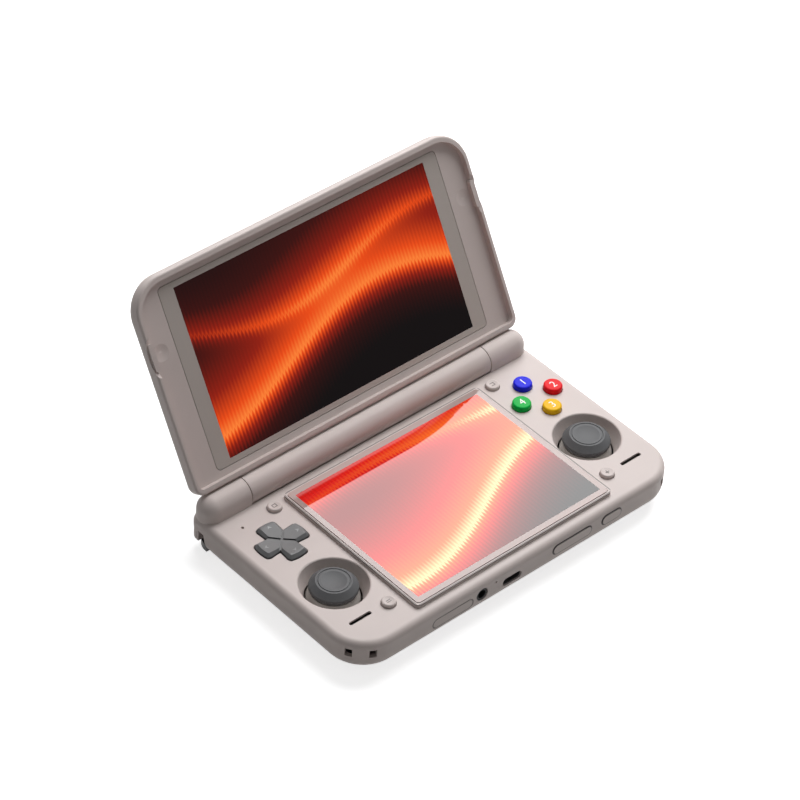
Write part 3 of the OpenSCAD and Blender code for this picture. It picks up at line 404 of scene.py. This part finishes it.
def wave_glow(tree, across, up, height, swing, length, phase, reach, power):
    """Light of one wave: brightest on its line, fading slowly above it and at once below it."""
    rib = add_node(tree, "Math", (across, RIB_WIDTH * MM), operation="PINGPONG")
    turn = add_node(tree, "Math", (across, 2 * math.pi / (length * MM), phase),
                    operation="MULTIPLY_ADD")
    sine = add_node(tree, "Math", (turn,), operation="SINE")
    line = add_node(tree, "Math", (sine, swing * MM, height * MM), operation="MULTIPLY_ADD")
    bent = add_node(tree, "Math", (rib, RIB_BEND, line), operation="MULTIPLY_ADD")
    offset = add_node(tree, "Math", (up, bent), operation="SUBTRACT")
    near = add_node(tree, "Math", (offset, reach * MM), operation="DIVIDE")
    above = add_node(tree, "Math", (near, 0.0), operation="MAXIMUM")
    below = add_node(tree, "Math", (near, 0.0), operation="MINIMUM")
    away = add_node(tree, "Math", (below, -FALL_OFF, above), operation="MULTIPLY_ADD")
    fade = add_node(tree, "Math", (away, -1.0), operation="MULTIPLY")
    glow = add_node(tree, "Math", (fade,), operation="EXPONENT")
    return add_node(tree, "Math", (glow, power), operation="MULTIPLY")


def inside_picture(tree, across, up, width, height, middle):
    """1 inside the picture and 0 on the border round it."""
    column = add_node(tree, "Math", (across, 0.0, width / 2 * MM), operation="COMPARE")
    row = add_node(tree, "Math", (up, middle * MM, height / 2 * MM), operation="COMPARE")
    return add_node(tree, "Math", (column, row), operation="MULTIPLY")


def screen_glass(name, place, picture, waves, stops, border, roughness, specular):
    """Hardened glass over a lit panel: a picture of two waves and a printed border round it. A
    wave is its height, swing, length, phase, reach and power."""
    made, tree = new_material(name)
    across, up, _ = frame_axes(tree, place)
    glows = [wave_glow(tree, across, up, *wave) for wave in waves]
    light = add_node(tree, "ValToRGB", (add_node(tree, "Math", glows, operation="ADD"),),
                     stops=[(level, linear(code)) for level, code in stops])
    inside = inside_picture(tree, across, up, *picture)
    face = add_node(tree, "Mix", {"Factor": inside, 6: linear(border), 7: linear("#060505")},
                    data_type="RGBA")
    lit = add_node(tree, "Mix", {"Factor": inside, 6: linear("#000000"), 7: light},
                   data_type="RGBA")
    finish_material(tree, add_node(tree, "BsdfPrincipled", {
        "Base Color": face.outputs[2], "Roughness": roughness, "IOR": 1.5,
        "Specular IOR Level": specular, "Emission Color": lit.outputs[2],
        "Emission Strength": 1.0}))
    return made


class CONSOLE_OT_upper_screen(bpy.types.Operator):
    """Upper cover glass with its lit picture"""
    bl_idname = "console.upper_screen"
    bl_label = "Upper Screen"

    def execute(self, context):
        # Chemically hardened glass, coated against glare: black until the picture glows through.
        waves = ((34.0, 15.0, 210.0, 0.7, 22.0, 0.86), (60.0, -8.0, 150.0, 2.4, 8.0, 0.34))
        stops = ((0.03, "#080304"), (0.2, "#3A0805"), (0.42, "#8F1B08"), (0.66, "#E84A10"),
                 (0.9, "#FF8A3A"))
        dress(screen_glass("hardened_glass_upper_picture", LID_FRAME, UPPER_PICTURE, waves, stops,
                           "#C4BCB6", 0.08, 0.06), "upper_glass")
        return {"FINISHED"}


class CONSOLE_OT_lower_screen(bpy.types.Operator):
    """Lower cover glass with its lit picture"""
    bl_idname = "console.lower_screen"
    bl_label = "Lower Screen"

    def execute(self, context):
        # The same hardened glass, with no coating against glare: it mirrors the lamp as a pale
        # haze over its picture, and the dark lid along its rear edge.
        waves = ((-13.0, 17.0, 205.0, -0.3, 30.0, 0.95), (25.0, 3.0, 150.0, 2.0, 14.0, 0.46))
        stops = ((0.03, "#080304"), (0.25, "#8E0E0C"), (0.52, "#DC1E18"), (0.78, "#FF7424"),
                 (0.95, "#FFE9A0"))
        dress(screen_glass("hardened_glass_lower_picture", DECK_FRAME, LOWER_PICTURE, waves, stops,
                           "#B19C97", 0.02, 0.5), "lower_glass")
        return {"FINISHED"}


# ------------------------------------------------------------------ sticks and pad

class CONSOLE_OT_sticks(bpy.types.Operator):
    """Thumb sticks: rubber caps with a knurled edge, and their skirts"""
    bl_idname = "console.sticks"
    bl_label = "Thumb Sticks"

    def execute(self, context):
        settings = finish_settings()
        # Silicone rubber, moulded matt: dark grey that lightens softly where it faces the lamp.
        rubber = moulded_plastic("moulded_silicone_rubber", tuple(settings.rubber), 0.62, 0.4,
                                 0.03, 0.06)
        dress(rubber, "stick_cap_left", "stick_cap_right")
        # Acetal, moulded glossy so that the cap slides over it: a light grey with bright crescents.
        dress(moulded_plastic("glossy_acetal_skirt", linear("#AFADA9"), 0.16, 0.4, 0.004),
              "stick_shaft_left", "stick_shaft_right")
        for side, sign in (("left", -1), ("right", 1)):
            new_piece(f"stick_knurl_{side}", knurled_band,
                      DECK_FRAME @ Matrix.Translation((sign * STICK_X * MM, STICK_Y * MM, 0)),
                      f"stick_cap_{side}", rubber)
        return {"FINISHED"}


def knurled_band(work):
    """Ring of fine upright teeth round the edge of a stick cap."""
    teeth = 84
    root, crest = 9.12, 9.34
    bottom, top = -1.95, -1.2
    # Inside of the band over its outside, so that it lies within the rubber of the cap
    inside = 8.9 / 9.2
    outer = []
    for i in range(teeth):
        for step, radius in ((0.0, root), (0.25, crest), (0.5, crest), (0.75, root)):
            turn = 2 * math.pi * (i + step) / teeth
            outer.append((radius * MM * math.cos(turn), radius * MM * math.sin(turn)))
    inner = [(x * inside, y * inside) for x, y in outer]
    ring_between(work, outer, inner, bottom * MM, top * MM)


class CONSOLE_OT_direction_pad(bpy.types.Operator):
    """Direction pad with an arrow on each petal"""
    bl_idname = "console.direction_pad"
    bl_label = "Direction Pad"

    def execute(self, context):
        settings = finish_settings()
        # ABS dyed dark grey, tool polished: a smoother sheen than the shells.
        pad = moulded_plastic("moulded_abs_dark_grey", tuple(settings.pad), 0.42, 0.5, 0.02, 0.05)
        dress(pad, "dpad_cap", "dpad_pivot")
        # Arrow marks moulded on the petals, a shade lighter where the tool was polished.
        mark = moulded_plastic("polished_abs_mark_grey", linear("#8B8C8C"), 0.25, 0.5, 0.01, 0.03)
        for name, turn in (("right", 0), ("rear", 90), ("left", 180), ("front", 270)):
            place = (DECK_FRAME @ Matrix.Translation((PAD_X * MM, PAD_Y * MM, PETAL_TOP * MM))
                     @ Matrix.Rotation(math.radians(turn), 4, "Z")
                     @ Matrix.Translation((ARROW_OUT * MM, 0, 0))
                     @ Matrix.Rotation(math.radians(PETAL_SLOPE), 4, "Y"))
            new_piece(f"pad_arrow_{name}", pad_arrow, place, "dpad_cap", mark)
        return {"FINISHED"}


def pad_arrow(work):
    """Thin arrowhead that points along X."""
    outline = ((0.9, 0.0), (-0.6, 0.95), (-0.15, 0.0), (-0.6, -0.95))
    raised_outline(work, [(x * MM, y * MM) for x, y in outline], -0.05 * MM, 0.05 * MM)


class CONSOLE_OT_function_marks(bpy.types.Operator):
    """Small plain marks on the four function buttons"""
    bl_idname = "console.function_marks"
    bl_label = "Function Button Marks"

    def execute(self, context):
        # Pad-printed warm grey ink, a little glossier than the button.
        ink = moulded_plastic("pad_print_ink_grey", linear("#857B77"), 0.35, 0.4, 0.003, 0.03)
        square = [(-0.8, -0.7), (0.8, -0.7), (0.8, 0.7), (-0.8, 0.7), (-0.8, -0.7)]
        bars = [[(-0.8, 0.4), (0.8, 0.4)], [(-0.8, -0.4), (0.8, -0.4)]]
        cross = [[(-0.8, 0), (0.8, 0)], [(0, -0.8), (0, 0.8)]]
        marks = (("rear_left", -FUNCTION_X, FUNCTION_REAR_Y, [square]),
                 ("rear_right", FUNCTION_X, FUNCTION_REAR_Y, [square[:4]]),
                 ("front_left", -FUNCTION_X, FUNCTION_FRONT_Y, bars),
                 ("front_right", FUNCTION_X, FUNCTION_FRONT_Y, cross))
        for name, x, y, lines in marks:
            def build(work):
                for line in lines:
                    stroke(work, [(a * MM, b * MM) for a, b in line], INK_WIDTH * MM,
                           0, INK_THICKNESS * MM)
            new_piece(f"function_mark_{name}", build,
                      DECK_FRAME @ Matrix.Translation((x * MM, y * MM, FUNCTION_TOP * MM)),
                      f"function_button_{name}", ink)
        return {"FINISHED"}


class CONSOLE_OT_face_buttons(bpy.types.Operator):
    """Four coloured face buttons with a plain number each"""
    bl_idname = "console.face_buttons"
    bl_label = "Face Buttons"

    def execute(self, context):
        settings = finish_settings()
        # White two-shot ABS let into each cap.
        white = moulded_plastic("two_shot_abs_white", linear("#F4F2EE"), 0.35, 0.6, 0.005)
        places = (("top", 0, 1, settings.blue, "1", "blue"),
                  ("right", 1, 0, settings.red, "2", "red"),
                  ("bottom", 0, -1, settings.yellow, "3", "yellow"),
                  ("left", -1, 0, settings.green, "4", "green"))
        for name, x, y, colour, digit, hue in places:
            # Clear-dyed ABS from a polished tool: strong colour and a small bright highlight.
            cap = moulded_plastic(f"polished_abs_{name}", tuple(colour), 0.3, 1.5, 0.008, 0.03, 0.1)
            dress(cap, f"face_button_{name}")
            spot = Vector((FACE_X + FACE_PITCH * x, FACE_Y + FACE_PITCH * y, FACE_TOP)) * MM
            number(f"face_number_{name}", digit, DECK_FRAME @ Matrix.Translation(spot),
                   f"face_button_{name}", white)
        return {"FINISHED"}


# Size of the font over the height of its digits, and how far a digit stands out
FONT_SIZE_TO_HEIGHT = 1.4
DIGIT_RISE = 0.04


def number(name, text, place, body, material):
    """A plain digit that stands a little out of a cap."""
    curve = bpy.data.curves.new(name, "FONT")
    curve.body = text
    curve.size = DIGIT_HEIGHT * MM * FONT_SIZE_TO_HEIGHT
    curve.align_x = "CENTER"
    curve.align_y = "CENTER"
    curve.extrude = DIGIT_RISE / 2 * MM
    holder = bpy.data.objects.new(name + "_curve", curve)
    bpy.context.scene.collection.objects.link(holder)
    bpy.context.view_layer.update()
    shape = holder.evaluated_get(bpy.context.evaluated_depsgraph_get())
    mesh = bpy.data.meshes.new_from_object(shape)
    bpy.data.objects.remove(holder)
    bpy.data.curves.remove(curve)
    mesh.name = name
    across = [v.co.x for v in mesh.vertices]
    up = [v.co.y for v in mesh.vertices]
    centre = ((min(across) + max(across)) / 2, (min(up) + max(up)) / 2)
    mesh.transform(place @ Matrix.Translation((-centre[0], -centre[1], DIGIT_RISE / 2 * MM)))
    mesh.materials.clear()
    add_piece(name, mesh, body, material)


# ------------------------------------------------------------------ ports and inside parts

class CONSOLE_OT_inside_parts(bpy.types.Operator):
    """Ports, boards, battery, fan and metal parts"""
    bl_idname = "console.inside_parts"
    bl_label = "Ports and Inside Parts"

    def execute(self, context):
        # Nickel-plated zinc and stamped steel: a cool grey sheen with fine lines.
        dress(rolled_metal("plated_steel", linear("#B4B6B8"), 0.34, 0.2), "lid_magnets",
              "hinge_module_left", "hinge_module_right", "hinge_shaft_left", "hinge_shaft_right",
              "stick_gimbal_left", "stick_gimbal_right", "shoulder_bracket_left",
              "shoulder_bracket_right", "trigger_spring_left", "trigger_spring_right",
              "card_reader", "vibration_motor", "case_screws")
        # The same steel plated black: a dark, softer sheen.
        dress(rolled_metal("black_nickel_steel", linear("#4B4A4A"), 0.45, 0.2), "usb_port")
        # Rolled steel sheet behind the displays: a mid grey with wider lines.
        dress(rolled_metal("display_back_steel", linear("#6A6B6E"), 0.4, 0.3),
              "upper_display_panel", "lower_display_panel")
        # Copper with fins shaved out of the block: bright, warm and a little brushed.
        dress(rolled_metal("skived_copper", linear("#C77B4C"), 0.3, 0.2), "heat_sink")
        # Green lacquer over glass cloth and copper: glossy, with a faint weave.
        dress(moulded_plastic("solder_mask_green", linear("#23512F"), 0.3, 0.8, 0.02), "main_board",
              "control_boards")
        # Amber polyimide over copper tracks: smooth and half glossy.
        dress(moulded_plastic("polyimide_film", linear("#B5651D"), 0.35, 0.8, 0.01), "display_flex")
        # Printed film shrunk round the cell: dark, half glossy, with long soft wrinkles.
        dress(moulded_plastic("battery_film_wrap", linear("#2C2F36"), 0.38, 2.0, 0.03), "battery")
        # Silicone rubber pressed as a sheet: milky and matt.
        dress(moulded_plastic("silicone_sheet", linear("#D9D4CE"), 0.6, 0.6, 0.02),
              "face_button_membrane", "dpad_membrane")
        # Rubber feet, moulded rough so that they grip: black and dull.
        dress(moulded_plastic("foot_rubber", linear("#1D1D1E"), 0.75, 0.5, 0.04), "rubber_feet")
        # Nylon moulded with glass fibre: black, with a slightly rough skin.
        dress(moulded_plastic("glass_filled_nylon_black", linear("#1E1E1F"), 0.5, 0.5, 0.03),
              "stick_module_left", "stick_module_right", "fan_frame", "fan_rotor", "speaker_left",
              "speaker_right")
        # Black liner moulded round the contacts: smooth, and dark like an open hole.
        dress(moulded_plastic("jack_liner_black", linear("#0C0C0D"), 0.5, 0.5, 0.01, specular=0.2),
              "headphone_jack")
        return {"FINISHED"}


# ------------------------------------------------------------------ stage

# Large round lamp over the rear right, in metres: its place, what it faces and its width
KEY_PLACE = Vector((0.36, 0.22, 0.6))
KEY_AIM = Vector((0.0, 0.0, 0.02))
KEY_WIDTH = 0.7
# Camera: azimuth, elevation and roll in degrees, and its place from the deck in millimetres
CAMERA_TURN = (-44.138, 41.315, -3.849)
CAMERA_FROM_DECK = Vector((-669.34, -660.67, 872.19))
# Half the width of the paper in metres, its cloudy marks from side to side, and the light that
# keeps it white to the camera
FLOOR_HALF = 4.0
PAPER_CLOUDS = 900.0
PAPER_GLOW = 0.72


def seen_directly(tree):
    """1 for what is seen straight or in a gloss, 0 for the light that it sends on."""
    path = add_node(tree, "LightPath")
    return add_node(tree, "Math", (path.outputs["Is Camera Ray"], path.outputs["Is Glossy Ray"]),
                    operation="MAXIMUM")


class CONSOLE_OT_stage(bpy.types.Operator):
    """Floor, soft light and camera"""
    bl_idname = "console.stage"
    bl_label = "Stage"

    def execute(self, context):
        settings = context.scene.console_stage
        self.floor()
        self.lamps(settings)
        self.camera(settings)
        return {"FINISHED"}

    def floor(self):
        """A wide sheet of paper under the object."""
        made, tree = new_material("studio_paper_white")
        # White seamless paper: it shows white to the camera and still takes the object's shadow.
        cloud = add_node(tree, "TexNoise", {"Scale": PAPER_CLOUDS, "Detail": 2.0})
        tint = add_node(tree, "ValToRGB", (cloud,),
                        stops=((0.3, linear("#F1F1F1")), (0.7, linear("#F5F5F5"))))
        paper = add_node(tree, "BsdfDiffuse", {"Color": tint})
        glow = add_node(tree, "Emission", {"Color": linear("#FFFFFF"), "Strength": PAPER_GLOW})
        both = add_node(tree, "AddShader", (paper, glow))
        shade = add_node(tree, "BsdfDiffuse", {"Color": linear("#B8B6B4")})
        finish_material(tree, add_node(tree, "MixShader", (seen_directly(tree), shade, both)))
        mesh = bpy.data.meshes.new("floor")
        work = bmesh.new()
        work.faces.new([work.verts.new((x * FLOOR_HALF, y * FLOOR_HALF, 0))
                        for x, y in ((-1, -1), (1, -1), (1, 1), (-1, 1))])
        work.to_mesh(mesh)
        work.free()
        mesh.materials.append(made)
        floor = bpy.data.objects.new("floor", mesh)
        bpy.context.scene.collection.objects.link(floor)

    def lamps(self, settings):
        """Even light all round and one large lamp."""
        world = bpy.data.worlds.new("studio_air")
        bpy.context.scene.world = world
        world.use_nodes = True
        tree = world.node_tree
        tree.nodes.clear()
        ambient, white = (add_node(tree, "Background", {"Color": linear("#FFFFFF"),
                                                        "Strength": strength})
                          for strength in (settings.fill, 1.0))
        mixed = add_node(tree, "MixShader", (seen_directly(tree), ambient, white))
        add_node(tree, "OutputWorld", {"Surface": mixed})
        light = bpy.data.lights.new("key_lamp", "AREA")
        light.shape = "DISK"
        light.size = KEY_WIDTH
        light.energy = settings.key
        lamp = bpy.data.objects.new("key_lamp", light)
        lamp.location = KEY_PLACE
        lamp.rotation_euler = (KEY_AIM - KEY_PLACE).to_track_quat("-Z", "Y").to_euler()
        bpy.context.scene.collection.objects.link(lamp)

    def camera(self, settings):
        """A long lens over the front left corner."""
        azimuth, elevation, roll = (math.radians(a) for a in CAMERA_TURN)
        ahead = Vector((-math.sin(azimuth) * math.cos(elevation),
                        math.cos(azimuth) * math.cos(elevation), -math.sin(elevation)))
        level = ahead.cross(Vector((0, 0, 1))).normalized()
        right = level * math.cos(roll) + ahead.cross(level) * math.sin(roll)
        up = right.cross(ahead)
        data = bpy.data.cameras.new("camera")
        data.lens = settings.lens
        data.sensor_width = 36.0
        data.clip_end = 20.0
        camera = bpy.data.objects.new("camera", data)
        turn = Matrix((right, up, -ahead)).transposed().to_4x4()
        camera.matrix_world = Matrix.Translation(DECK + CAMERA_FROM_DECK * MM) @ turn
        bpy.context.scene.collection.objects.link(camera)
        bpy.context.scene.camera = camera
        bpy.context.scene.view_settings.view_transform = "Standard"


# ------------------------------------------------------------------ panel and registration

PIECES = (CONSOLE_OT_mouldings, CONSOLE_OT_upper_screen, CONSOLE_OT_lower_screen, CONSOLE_OT_sticks,
          CONSOLE_OT_direction_pad, CONSOLE_OT_function_marks, CONSOLE_OT_face_buttons,
          CONSOLE_OT_inside_parts, CONSOLE_OT_stage)


class CONSOLE_PT_pieces(bpy.types.Panel):
    """Lists the pieces of the console"""
    bl_idname = "CONSOLE_PT_pieces"
    bl_label = "Clamshell Console"
    bl_space_type = "VIEW_3D"
    bl_region_type = "UI"
    bl_category = "Console"

    def draw(self, context):
        for group in (context.scene.console_finish, context.scene.console_stage):
            for name in group.__annotations__:
                self.layout.prop(group, name)
        for piece in PIECES:
            self.layout.operator(piece.bl_idname)


CLASSES = (ConsoleFinish, ConsoleStage) + PIECES + (CONSOLE_PT_pieces,)


def register():
    """Registers the classes and hangs the settings on the scene."""
    for item in CLASSES:
        bpy.utils.register_class(item)
    bpy.types.Scene.console_finish = bpy.props.PointerProperty(type=ConsoleFinish)
    bpy.types.Scene.console_stage = bpy.props.PointerProperty(type=ConsoleStage)


def unregister():
    """Takes away what register() added."""
    del bpy.types.Scene.console_stage
    del bpy.types.Scene.console_finish
    for item in reversed(CLASSES):
        bpy.utils.unregister_class(item)


def main():
    """Dresses the part through its operators."""
    register()
    for piece in PIECES:
        area, name = piece.bl_idname.split(".")
        getattr(getattr(bpy.ops, area), name)()
    bpy.context.view_layer.update()


if __name__ == "__main__":
    main()
